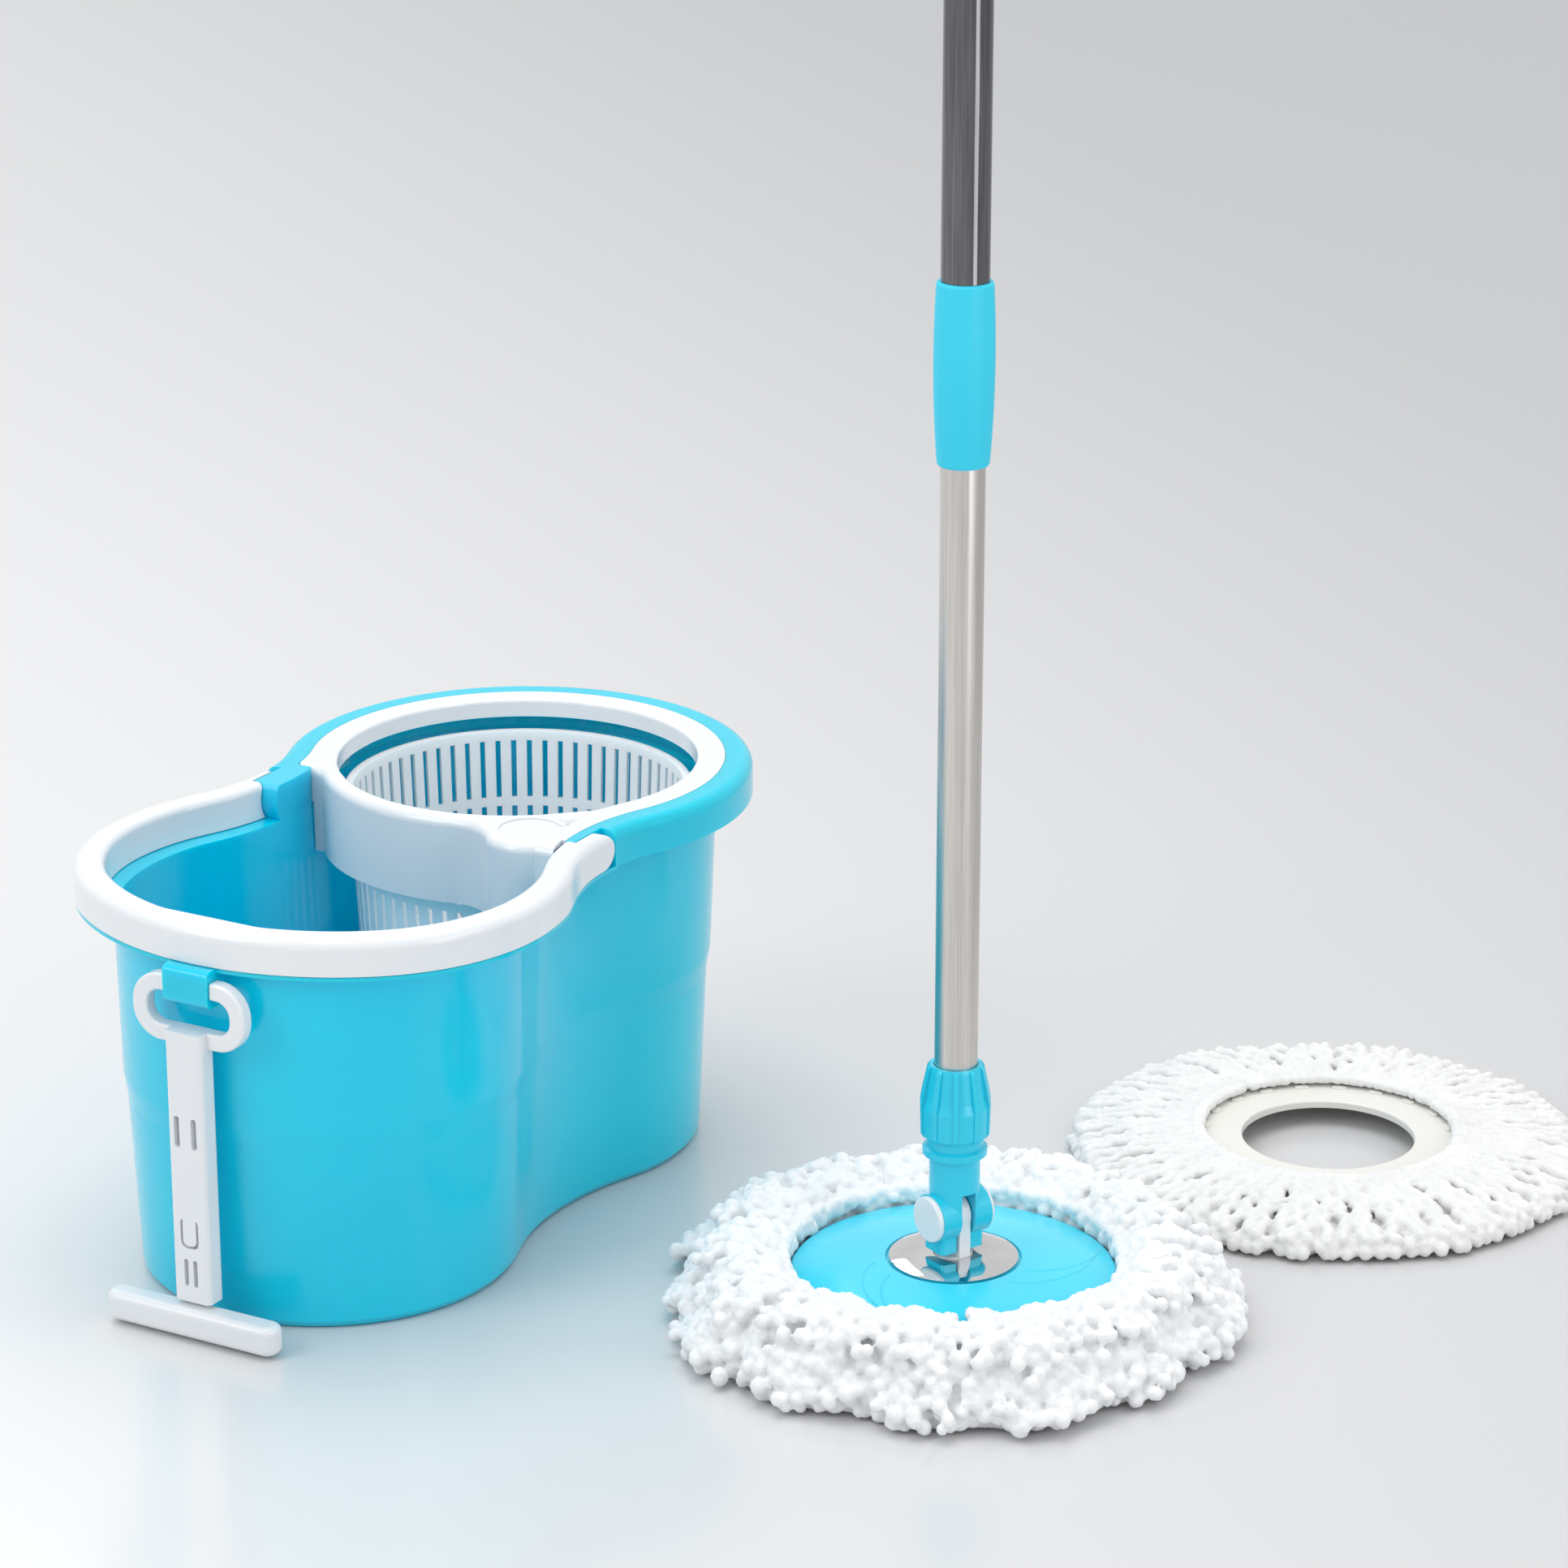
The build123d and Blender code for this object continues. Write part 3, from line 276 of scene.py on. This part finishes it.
# each CAD node's material; the pins, screws and other hidden metal parts are plain steel
LOOKS = {
    "bucket_shell": TURQUOISE,
    "carry_handle": WHITE,
    "basket_holder": SURROUND,
    "spin_basket": ICE,
    "basket_base": ICE,
    "hub_cap": ICE,
    "tow_handle": WHITE,
    "tow_rod": WHITE,
    "tow_grip": WHITE,
    "neck_fork": CYAN,
    "lock_collar": CYAN,
    "hinge_caps": WHITE,
    "head_stem": WHITE,
    "head_plate": PLATE,
    "chrome_cover": CHROME,
    "mop_ring": WHITE,
    "lower_tube": SATIN_STEEL,
    "upper_tube": DARK_STEEL,
    "grip_sleeve": GRIP,
    "end_cap": GRIP,
    "refill_ring": CREAM,
    "basket_bush": GREY,
    "roller_left": GREY,
    "roller_right": GREY,
    "nut_seat": GREY,
    "drive_nut": GREY,
    "rod_anchor": GREY,
    "swivel_retainer": GREY,
}
for node_name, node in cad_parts.items():
    look = LOOKS.get(node_name, STEEL)
    if not node.material_slots:
        node.data.materials.append(look)
    for material_slot in node.material_slots:
        material_slot.material = look


# ---- Strands --------------------------------------------------------------------------------------------
def smooth_noise(points, seed, waves, scale):
    """A repeatable smooth wobble of points, about -1 to 1, from a few slanted sine waves."""
    rng = np.random.default_rng(seed)
    total = np.zeros(points.shape[:-1])
    for _ in range(waves):
        way = rng.normal(size=3)
        way /= np.linalg.norm(way)
        pitch = TAU / scale * rng.uniform(0.7, 1.6)
        total += np.sin(points @ way * pitch + rng.uniform(0, TAU))
    return total / waves * 1.4


def ball():
    """The points and faces of a small round blob."""
    mesh = bmesh.new()
    bmesh.ops.create_icosphere(mesh, subdivisions=2, radius=1)
    mesh.verts.ensure_lookup_table()
    points = np.array([vert.co[:] for vert in mesh.verts])
    faces = np.array([[vert.index for vert in face.verts] for face in mesh.faces])
    mesh.free()
    return points, faces


BALL_POINTS, BALL_FACES = ball()


def blobs(centres, sizes):
    """The mesh arrays of one blob per centre (n, xyz), scaled by sizes (n, xyz)."""
    points = centres[:, None, :] + BALL_POINTS[None] * sizes[:, None, :]
    faces = BALL_FACES[None] + (np.arange(len(centres)) * len(BALL_POINTS))[:, None, None]
    return points.reshape(-1, 3), faces.reshape(-1, 3)


def ring_core(centre, section, reach=None, sides=180):
    """The mesh arrays of a closed ring turned from a (radius, height) section, stretched by a reach."""
    section = np.array(section)
    turn = np.linspace(0, TAU, sides, endpoint=False)
    inner = section[:, 0].min()
    stretch = np.ones(sides) if reach is None else reach(turn)
    radius = inner + (section[None, :, 0] - inner) * stretch[:, None]
    points = np.stack(
        [
            centre.x + np.cos(turn)[:, None] * radius,
            centre.y + np.sin(turn)[:, None] * radius,
            np.broadcast_to(section[None, :, 1], (sides, len(section))),
        ],
        axis=2,
    )
    corners = len(section)
    step, corner = np.meshgrid(np.arange(sides), np.arange(corners), indexing="ij")
    after, beside = (step + 1) % sides, (corner + 1) % corners
    a, b = step * corners + corner, after * corners + corner
    c, d = after * corners + beside, step * corners + beside
    faces = np.concatenate([np.stack([a, b, c], axis=-1), np.stack([a, c, d], axis=-1)])
    return points.reshape(-1, 3), faces.reshape(-1, 3)


def skin(name, parts, voxel, seed, fuzz, fuzz_size):
    """One closed skin over overlapping mesh arrays, roughened by a wobble fuzz high and fuzz_size wide."""
    points, faces, count = [], [], 0
    for part_points, part_faces in parts:
        points.append(part_points)
        faces.append(part_faces + count)
        count += len(part_points)
    mesh = bpy.data.meshes.new(name)
    mesh.from_pydata(np.concatenate(points).tolist(), [], np.concatenate(faces).tolist())
    piece = bpy.data.objects.new(name, mesh)
    bpy.context.scene.collection.objects.link(piece)
    remesh = piece.modifiers.new("skin", "REMESH")
    remesh.mode = "VOXEL"
    remesh.voxel_size = voxel
    remesh.use_smooth_shade = True
    bpy.context.view_layer.update()
    piece.data = bpy.data.meshes.new_from_object(piece.evaluated_get(bpy.context.evaluated_depsgraph_get()))
    piece.modifiers.clear()
    mesh = piece.data
    co = np.zeros(len(mesh.vertices) * 3)
    normals = np.zeros(len(mesh.vertices) * 3)
    mesh.vertices.foreach_get("co", co)
    mesh.vertices.foreach_get("normal", normals)
    co, normals = co.reshape(-1, 3), normals.reshape(-1, 3)
    co += normals * (smooth_noise(co, seed, 12, fuzz_size) * fuzz)[:, None]
    mesh.vertices.foreach_set("co", co.ravel())
    mesh.update()
    return piece


def place_strand(rng, centre, angle, profile, gap, sway):
    """Points every gap along one strand that leaves a centre at an angle along (radius, height) points."""
    profile = np.array(profile)
    run = np.concatenate([[0], np.cumsum(np.linalg.norm(np.diff(profile, axis=0), axis=1))])
    length = run[-1]
    along = np.arange(0, length, gap)
    radius = np.interp(along, run, profile[:, 0])
    height = np.interp(along, run, profile[:, 1])
    t = along / length
    bend = rng.uniform(1.2, 2.6)
    phase = rng.uniform(0, TAU, 2)
    wave = np.sin(bend * TAU * t + phase[0]) + 0.5 * np.sin(bend * 2.3 * TAU * t + phase[1])
    side = sway * wave * (0.3 + t)
    turn = angle + side / radius
    x = centre.x + radius * np.cos(turn)
    y = centre.y + radius * np.sin(turn)
    return np.stack([x, y, height], axis=1), turn


# ---- Mop pile: thick looped yarn in lumps, heaped round the plate ---------------------------------------
FRONT = math.radians(207)  # the side where the pile leans over the plate's edge
PILE_START = 0.088  # the radius where its strands come out from under the plate
# (radius, height) lines that the pile's lumps stay over and under: the plate's face, and the pile's own top
PLATE_TOP = [(0.035, 0.0362), (0.060, 0.0338), (0.084, 0.0292), (0.0845, 0.0)]
MOP_CEILING = [(0.0, 0.0402), (0.089, 0.0402), (0.096, 0.0450), (0.118, 0.0465), (0.2, 0.0465)]
# layers of strands, lowest first: the (radius, height) points of a strand, and how many go round
MOP_LAYERS = [
    ([(0.100, 0.005), (0.145, 0.005)], 118),
    ([(0.100, 0.012), (0.128, 0.012), (0.147, 0.008)], 118),
    ([(0.105, 0.019), (0.122, 0.020), (0.137, 0.017), (0.147, 0.010)], 112),
    ([(0.089, 0.026), (0.112, 0.029), (0.130, 0.025), (0.143, 0.014)], 108),
    ([(0.088, 0.031), (0.104, 0.036), (0.120, 0.035), (0.136, 0.023)], 102),
    ([(0.089, 0.035), (0.100, 0.041), (0.116, 0.042), (0.131, 0.034)], 92),
]
MOP_CORE = [
    (0.0865, 0.002),
    (0.140, 0.002),
    (0.140, 0.011),
    (0.129, 0.028),
    (0.112, 0.0395),
    (0.0895, 0.0365),
]
EDGE_LUMPS = 210
LUMP_GAP = 0.0042
LEAN = 0.0170  # how far the lumps lean in over the plate at the front
LEAN_SPAN = 1.15  # how far round from the front they still do, in radians
GAP_AT, GAP_HALF = 0.05, 0.045  # the narrow gap in them, in radians from the front


def pile_reach(angle):
    """How far the pile spreads past the plate at an angle, as a share: least at the front."""
    tufts = 0.06 * np.sin(5 * angle + 1.1) + 0.05 * np.sin(13 * angle + 0.4)
    return 0.97 + tufts - 0.16 * np.cos(angle - FRONT)


def mop_blobs():
    """Centres and sizes of all the lumps of the mop's pile."""
    rng = np.random.default_rng(41)
    centres, sizes = [], []
    for profile, count in MOP_LAYERS:
        for strand in range(count):
            angle = (strand + rng.uniform(-0.4, 0.4)) * TAU / count
            reach = pile_reach(angle) + rng.uniform(-0.12, 0.08)
            path = [(PILE_START + (r - PILE_START) * reach, z) for r, z in profile]
            points, _ = place_strand(rng, MOP, angle, path, gap=0.0044, sway=0.0035)
            centres.append(points + rng.normal(0, 0.0011, points.shape))
            radius = rng.uniform(0.0031, 0.0048, len(points))
            sizes.append(radius[:, None] * rng.uniform(0.88, 1.12, (len(points), 3)))
    # lumps along the plate's edge, which lean in over it at the front except in a narrow gap
    for step in range(EDGE_LUMPS):
        off = (step / EDGE_LUMPS * 2 - 1) * math.pi
        lean = LEAN * max(0.0, 1 - (off / LEAN_SPAN) ** 2) * (0.55 + 0.45 * abs(math.sin(7 * off + 0.6)))
        if abs(off - GAP_AT) < GAP_HALF:
            lean = -0.003
        turn = FRONT + off + rng.uniform(-0.012, 0.012)
        for radius in np.arange(0.0885 - lean - rng.uniform(0, 0.002), 0.0905, LUMP_GAP):
            x = MOP.x + radius * math.cos(turn)
            y = MOP.y + radius * math.sin(turn)
            centres.append(np.array([[x, y, rng.uniform(0.034, 0.037)]]))
            sizes.append(rng.uniform(0.0028, 0.0040, (1, 3)))
    return np.concatenate(centres), np.concatenate(sizes)


LEAST_HEIGHT = 0.0006  # no lump goes lower than this over the floor
VOXEL = 0.0011


def keep_between(centres, sizes, centre, floor_line, ceiling_line):
    """Moves blobs so that they stay over a floor line and under a ceiling line about a centre."""
    r = np.hypot(centres[:, 0] - centre.x, centres[:, 1] - centre.y)
    floor_line, ceiling_line = np.array(floor_line), np.array(ceiling_line)
    low = np.maximum(LEAST_HEIGHT, np.interp(r, floor_line[:, 0], floor_line[:, 1]))
    high = np.interp(r, ceiling_line[:, 0], ceiling_line[:, 1])
    room = (high - low) / 2 - 0.0001
    sizes[:, 2] = np.minimum(sizes[:, 2], room)
    centres[:, 2] = np.clip(centres[:, 2], low + sizes[:, 2], high - sizes[:, 2])


centres, sizes = mop_blobs()
keep_between(centres, sizes, MOP, PLATE_TOP, MOP_CEILING)
pile_parts = [blobs(centres, sizes), ring_core(MOP, MOP_CORE, pile_reach)]
pile = skin("mop_pile", pile_parts, voxel=VOXEL, seed=7, fuzz=0.0004, fuzz_size=0.003)
pile.data.materials.append(PILE)
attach(pile, "head")
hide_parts("mop_strands")


# ---- Spare yarns: radial ropes round the spare ring -----------------------------------------------------
# layers of yarns, lowest first: the (radius, height) points of a yarn, how many go round, and their thickness
SPARE_LAYERS = [
    ([(0.0795, 0.0045), (0.142, 0.0035)], 112, 0.0042),
    ([(0.0795, 0.0090), (0.140, 0.0075)], 104, 0.0038),
    ([(0.0710, 0.0165), (0.080, 0.0165), (0.110, 0.0150), (0.138, 0.0105)], 94, 0.0038),
]
SPARE_CORE = [(0.0775, 0.001), (0.133, 0.001), (0.133, 0.0065), (0.112, 0.0104), (0.0775, 0.0120)]
YARN_START = 0.071
YARN_CEILING = 0.0215
RING_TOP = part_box("refill_ring")[1].z + 0.0002  # just over the ring's raised ovals
# (radius, height) line under the yarns: on the ring near the middle, then down on the floor
RING_LINE = [(0.0, RING_TOP), (0.0755, RING_TOP), (0.0765, 0.0)]


def spare_blobs():
    """Centres and sizes of all the lumps of the spare ring's yarns, which wind a little side to side."""
    rng = np.random.default_rng(52)
    centres, sizes = [], []
    for profile, count, thick in SPARE_LAYERS:
        for strand in range(count):
            angle = (strand + rng.uniform(-0.25, 0.25)) * TAU / count
            reach = 1 + 0.02 * math.sin(8 * angle) + rng.uniform(-0.03, 0.015)
            path = [(YARN_START + (r - YARN_START) * reach, z) for r, z in profile]
            points, turn = place_strand(rng, SPARE, angle, path, gap=0.0027, sway=0.0015)
            swing = np.where(np.arange(len(points)) % 4 < 2, 0.0007, -0.0007)
            points[:, 0] -= np.sin(turn) * swing
            points[:, 1] += np.cos(turn) * swing
            centres.append(points + rng.normal(0, 0.00025, points.shape))
            radius = thick * rng.uniform(0.84, 0.98, (len(points), 1))
            sizes.append(radius * rng.uniform(0.95, 1.05, (len(points), 3)))
    return np.concatenate(centres), np.concatenate(sizes)


centres, sizes = spare_blobs()
keep_between(centres, sizes, SPARE, RING_LINE, [(0.0, YARN_CEILING), (0.3, YARN_CEILING)])
yarn_parts = [blobs(centres, sizes), ring_core(SPARE, SPARE_CORE)]
yarns = skin("spare_yarn", yarn_parts, voxel=VOXEL, seed=9, fuzz=0.0003, fuzz_size=0.003)
yarns.data.materials.append(YARN)
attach(yarns, "refill")
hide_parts("refill_strands")


# ---- Plate lines: curved raised lines that sweep out over the plate -------------------------------------
# the plate's upper face, as a curve through its height at three radii
PLATE_CURVE = np.polyfit([0.035, 0.060, 0.0825], [0.0356, 0.0332, 0.0288], 2)
LINE_STEPS = 48


def add_plate_lines():
    """Three pairs of raised lines; each is a strip with a flat top that tapers at both ends."""
    verts, faces = [], []
    t = np.linspace(0, 1, LINE_STEPS)
    for arm in range(3):
        for start, sweep in ((0.0, 1.25), (0.42, 0.72)):
            radius = 0.0405 + 0.040 * t
            turn = math.radians(120 * arm + 250) + start + sweep * t**1.25
            width = 0.0010 * np.sin(math.pi * np.clip(t * 0.92 + 0.04, 0, 1)) ** 0.5
            base = len(verts)
            for r, a, w in zip(radius, turn, width):
                height = np.polyval(PLATE_CURVE, r)
                for offset, lift in ((-1, -0.0002), (-0.4, 0.00035), (0.4, 0.00035), (1, -0.0002)):
                    spot = a + offset * w / r
                    x = MOP.x + r * math.cos(spot)
                    y = MOP.y + r * math.sin(spot)
                    verts.append((x, y, height + lift))
            for step in range(LINE_STEPS - 1):
                for side in range(3):
                    a, b = base + step * 4 + side, base + (step + 1) * 4 + side
                    faces.append((a, b, b + 1, a + 1))
    mesh = bpy.data.meshes.new("plate_lines")
    mesh.from_pydata(verts, [], faces)
    mesh.polygons.foreach_set("use_smooth", [True] * len(mesh.polygons))
    mesh.materials.append(PLATE)
    mesh.update()
    lines = bpy.data.objects.new("plate_lines", mesh)
    bpy.context.scene.collection.objects.link(lines)
    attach(lines, "head")


add_plate_lines()


# ---- Floor and lights -----------------------------------------------------------------------------------
FLOOR_HALF = 40
# the floor's pale colour, and the painted shade that its colour darkens to
FLOOR_PALE, FLOOR_PAINTED_SHADE = (0.77, 0.77, 0.775), (0.50, 0.50, 0.51)


def add_floor():
    """A pale, slightly glossy floor whose colour darkens softly towards the camera's right: painted shade."""
    mesh = bpy.data.meshes.new("floor")
    corners = [(x * FLOOR_HALF, y * FLOOR_HALF, 0) for x, y in ((-1, -1), (1, -1), (1, 1), (-1, 1))]
    mesh.from_pydata(corners, [], [(0, 1, 2, 3)])
    floor = bpy.data.objects.new("floor", mesh)
    floor.location.z = -0.0005
    bpy.context.scene.collection.objects.link(floor)
    material, nodes, links, shader = new_material("floor")
    place = nodes.new("ShaderNodeTexCoord")
    turn = nodes.new("ShaderNodeMapping")
    turn.inputs["Rotation"].default_value = (0, 0, math.radians(45))
    turn.inputs["Scale"].default_value = (0.36, 0.36, 0.36)
    turn.inputs["Location"].default_value = (0.35, 0, 0)
    # painted shade: a soft gradient that darkens the floor's colour towards the camera's right
    shade_fade = nodes.new("ShaderNodeTexGradient")
    shade_fade.gradient_type = "EASING"
    links.new(place.outputs["Object"], turn.inputs["Vector"])
    links.new(turn.outputs["Vector"], shade_fade.inputs["Vector"])
    shade = ramp(nodes, links, shade_fade.outputs["Fac"], FLOOR_PALE, FLOOR_PAINTED_SHADE, 0.05, 0.9)
    links.new(shade, shader.inputs["Base Color"])
    shader.inputs["Roughness"].default_value = 0.2
    shader.inputs["Specular IOR Level"].default_value = 0.8
    mesh.materials.append(material)
    return floor


def add_light(name, place, target, size, power):
    """A rectangular studio light that the camera doesn't see, aimed at a target; power is in watts."""
    data = bpy.data.lights.new(name, "AREA")
    data.shape = "RECTANGLE"
    data.size, data.size_y = size
    data.energy = power
    light = bpy.data.objects.new(name, data)
    light.location = place
    light.rotation_euler = (Vector(target) - Vector(place)).to_track_quat("-Z", "Y").to_euler()
    light.visible_camera = False
    bpy.context.scene.collection.objects.link(light)
    return light


def add_world():
    """An even, faintly cool sky."""
    world = bpy.data.worlds.new("studio")
    bpy.context.scene.world = world
    world.use_nodes = True
    background = world.node_tree.nodes["Background"]
    background.inputs["Color"].default_value = (0.95, 0.96, 0.97, 1)
    background.inputs["Strength"].default_value = 0.8


floor = add_floor()
add_light("key", (-2.4, 1.2, 2.2), (0, -0.1, 0.1), (1.4, 1.8), 25)
add_light("fill", (0.2, -3.2, 1.7), (0, -0.2, 0.2), (1.2, 1.8), 8)
# a narrow upright card to the camera's right: the streak down the tubes and the tub's waist
STRIP_HEIGHT = 0.60
strip_place = (MOP.x - 0.46, MOP.y - 1.43, STRIP_HEIGHT)
strip = add_light("strip", strip_place, (MOP.x, MOP.y, STRIP_HEIGHT), (0.5, 1.15), 4.4)
# its glare on the floor would show as a hard-edged patch from behind, so it doesn't light the floor
unlit = bpy.data.collections.new("not_lit_by_strip")
unlit.objects.link(floor)
unlit.collection_objects[0].light_linking.link_state = "EXCLUDE"
strip.light_linking.receiver_collection = unlit
add_light("top", (0.3, 0.2, 3.0), (0, -0.2, 0), (2.2, 2.2), 38)
add_light("back", (2.2, 2.9, 2.6), (2.4, 2.6, 0), (2.4, 2.4), 20)
add_world()
